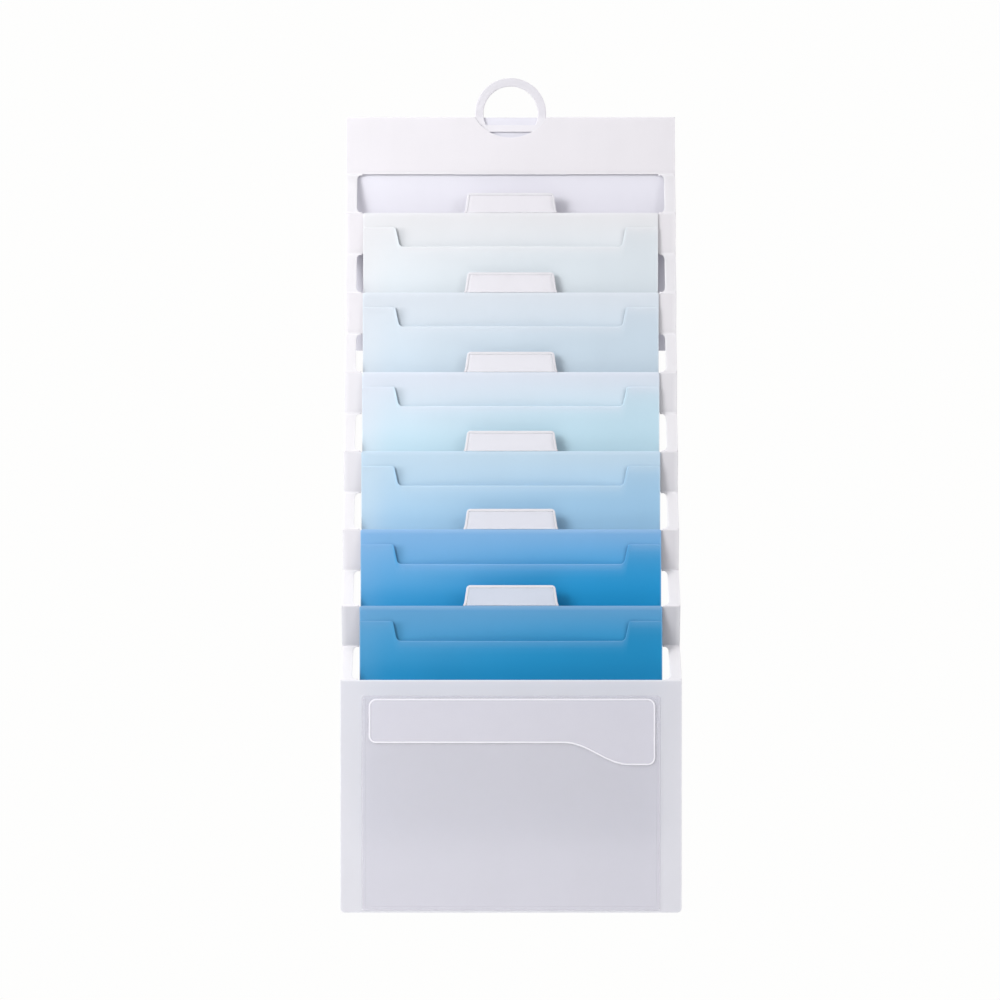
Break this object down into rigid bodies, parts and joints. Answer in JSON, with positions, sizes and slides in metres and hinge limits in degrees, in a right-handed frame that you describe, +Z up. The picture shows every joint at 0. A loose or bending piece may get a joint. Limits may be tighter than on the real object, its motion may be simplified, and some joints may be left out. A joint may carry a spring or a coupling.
{
  "type": "hanging document pocket",
  "caption": "Wall organiser of tinted plastic document pockets that hang one below the other from a sliding ring hook; the stack folds up flat behind a front cover with a label window.",
  "frame": {"origin": "the point where the ring hangs: the top of the ring's hole, midway through the hook's thickness", "axes": "+X to the right seen from the front, +Y back to the wall, +Z up; the front faces -Y"},
  "size_m": [0.362, 0.0902, 0.9049],
  "materials": {
    "hook_white": "satin",
    "sheet_white": "satin, slightly translucent",
    "pocket_tint_1": "satin, translucent",
    "tab_clear": "clear, glossy",
    "tab_paper": "paper",
    "pocket_tint_2": "satin, translucent",
    "pocket_tint_3": "satin, translucent",
    "pocket_tint_4": "satin, translucent",
    "pocket_tint_5": "satin, translucent",
    "pocket_tint_6": "satin, translucent",
    "cover_white": "satin, slightly translucent",
    "cover_sheet_clear": "translucent",
    "label_film": "smooth"
  },
  "bodies": {
    "hook": {"hook": "hook_white"},
    "back_panel": {"back_cover": "sheet_white", "header_front": "sheet_white", "header_seam_left": "sheet_white", "header_seam_right": "sheet_white", "hook_guide_left": "sheet_white", "hook_guide_right": "sheet_white", "hook_guide_floor": "sheet_white"},
    "link_1": {"link_1_strip_left": "sheet_white", "link_1_strip_right": "sheet_white"},
    "pocket_1": {"band_1": "sheet_white", "pocket_1_back": "pocket_tint_1", "pocket_1_front": "pocket_tint_1", "tab_1_sleeve": "tab_clear", "tab_1_label": "tab_paper"},
    "link_2": {"link_2_strip_left": "sheet_white", "link_2_strip_right": "sheet_white"},
    "pocket_2": {"band_2": "sheet_white", "pocket_2_back": "pocket_tint_2", "pocket_2_front": "pocket_tint_2", "tab_2_sleeve": "tab_clear", "tab_2_label": "tab_paper"},
    "link_3": {"link_3_strip_left": "sheet_white", "link_3_strip_right": "sheet_white"},
    "pocket_3": {"band_3": "sheet_white", "pocket_3_back": "pocket_tint_3", "pocket_3_front": "pocket_tint_3", "tab_3_sleeve": "tab_clear", "tab_3_label": "tab_paper"},
    "link_4": {"link_4_strip_left": "sheet_white", "link_4_strip_right": "sheet_white"},
    "pocket_4": {"band_4": "sheet_white", "pocket_4_back": "pocket_tint_4", "pocket_4_front": "pocket_tint_4", "tab_4_sleeve": "tab_clear", "tab_4_label": "tab_paper"},
    "link_5": {"link_5_strip_left": "sheet_white", "link_5_strip_right": "sheet_white"},
    "pocket_5": {"band_5": "sheet_white", "pocket_5_back": "pocket_tint_5", "pocket_5_front": "pocket_tint_5", "tab_5_sleeve": "tab_clear", "tab_5_label": "tab_paper"},
    "link_6": {"link_6_strip_left": "sheet_white", "link_6_strip_right": "sheet_white"},
    "pocket_6": {"band_6": "sheet_white", "pocket_6_back": "pocket_tint_6", "pocket_6_front": "pocket_tint_6", "tab_6_sleeve": "tab_clear", "tab_6_label": "tab_paper"},
    "link_7": {"link_7_strip_left": "sheet_white", "link_7_strip_right": "sheet_white"},
    "front_cover": {"front_cover": "cover_white", "front_cover_sheet": "cover_sheet_clear", "front_label": "label_film"}
  },
  "joints": [
    {"name": "hook_slide", "type": "slide", "parent": "hook", "child": "back_panel", "axis": [0, 0, 1], "range_m": [0, 0.0434]},
    {"name": "link_1_fold", "type": "hinge", "parent": "back_panel", "child": "link_1", "pos_m": [0, -0.0016, -0.0978], "axis": [-1, 0, 0], "range_deg": [0, 155.5]},
    {"name": "pocket_1_fold", "type": "hinge", "parent": "link_1", "child": "pocket_1", "pos_m": [0, -0.01091, -0.14162], "axis": [1, 0, 0], "range_deg": [0, 155.5]},
    {"name": "link_2_fold", "type": "hinge", "parent": "pocket_1", "child": "link_2", "pos_m": [0, -0.00857, -0.18636], "axis": [-1, 0, 0], "range_deg": [0, 149]},
    {"name": "pocket_2_fold", "type": "hinge", "parent": "link_2", "child": "pocket_2", "pos_m": [0, -0.0189, -0.22995], "axis": [1, 0, 0], "range_deg": [0, 149]},
    {"name": "link_3_fold", "type": "hinge", "parent": "pocket_2", "child": "link_3", "pos_m": [0, -0.0159, -0.27465], "axis": [-1, 0, 0], "range_deg": [0, 143.5]},
    {"name": "pocket_3_fold", "type": "hinge", "parent": "link_3", "child": "pocket_3", "pos_m": [0, -0.02849, -0.31765], "axis": [1, 0, 0], "range_deg": [0, 143.5]},
    {"name": "link_4_fold", "type": "hinge", "parent": "pocket_3", "child": "link_4", "pos_m": [0, -0.02417, -0.36224], "axis": [-1, 0, 0], "range_deg": [0, 135]},
    {"name": "pocket_4_fold", "type": "hinge", "parent": "link_4", "child": "pocket_4", "pos_m": [0, -0.03995, -0.40417], "axis": [1, 0, 0], "range_deg": [0, 135]},
    {"name": "link_5_fold", "type": "hinge", "parent": "pocket_4", "child": "link_5", "pos_m": [0, -0.03382, -0.44855], "axis": [-1, 0, 0], "range_deg": [0, 123.5]},
    {"name": "pocket_5_fold", "type": "hinge", "parent": "link_5", "child": "pocket_5", "pos_m": [0, -0.0535, -0.48879], "axis": [1, 0, 0], "range_deg": [0, 123.5]},
    {"name": "link_6_fold", "type": "hinge", "parent": "pocket_5", "child": "link_6", "pos_m": [0, -0.04518, -0.53282], "axis": [-1, 0, 0], "range_deg": [0, 110]},
    {"name": "pocket_6_fold", "type": "hinge", "parent": "link_6", "child": "pocket_6", "pos_m": [0, -0.06928, -0.57058], "axis": [1, 0, 0], "range_deg": [0, 110]},
    {"name": "link_7_fold", "type": "hinge", "parent": "pocket_6", "child": "link_7", "pos_m": [0, -0.05844, -0.61405], "axis": [-1, 0, 0], "range_deg": [0, 111]},
    {"name": "front_cover_fold", "type": "hinge", "parent": "link_7", "child": "front_cover", "pos_m": [0, -0.08724, -0.64837], "axis": [1, 0, 0], "range_deg": [0, 111]}
  ],
  "couplings": [
    {"joint": "link_1_fold", "follows": "pocket_1_fold", "ratio": 1},
    {"joint": "link_2_fold", "follows": "pocket_2_fold", "ratio": 1},
    {"joint": "link_3_fold", "follows": "pocket_3_fold", "ratio": 1},
    {"joint": "link_4_fold", "follows": "pocket_4_fold", "ratio": 1},
    {"joint": "link_5_fold", "follows": "pocket_5_fold", "ratio": 1},
    {"joint": "link_6_fold", "follows": "pocket_6_fold", "ratio": 1},
    {"joint": "link_7_fold", "follows": "front_cover_fold", "ratio": 1}
  ]
}
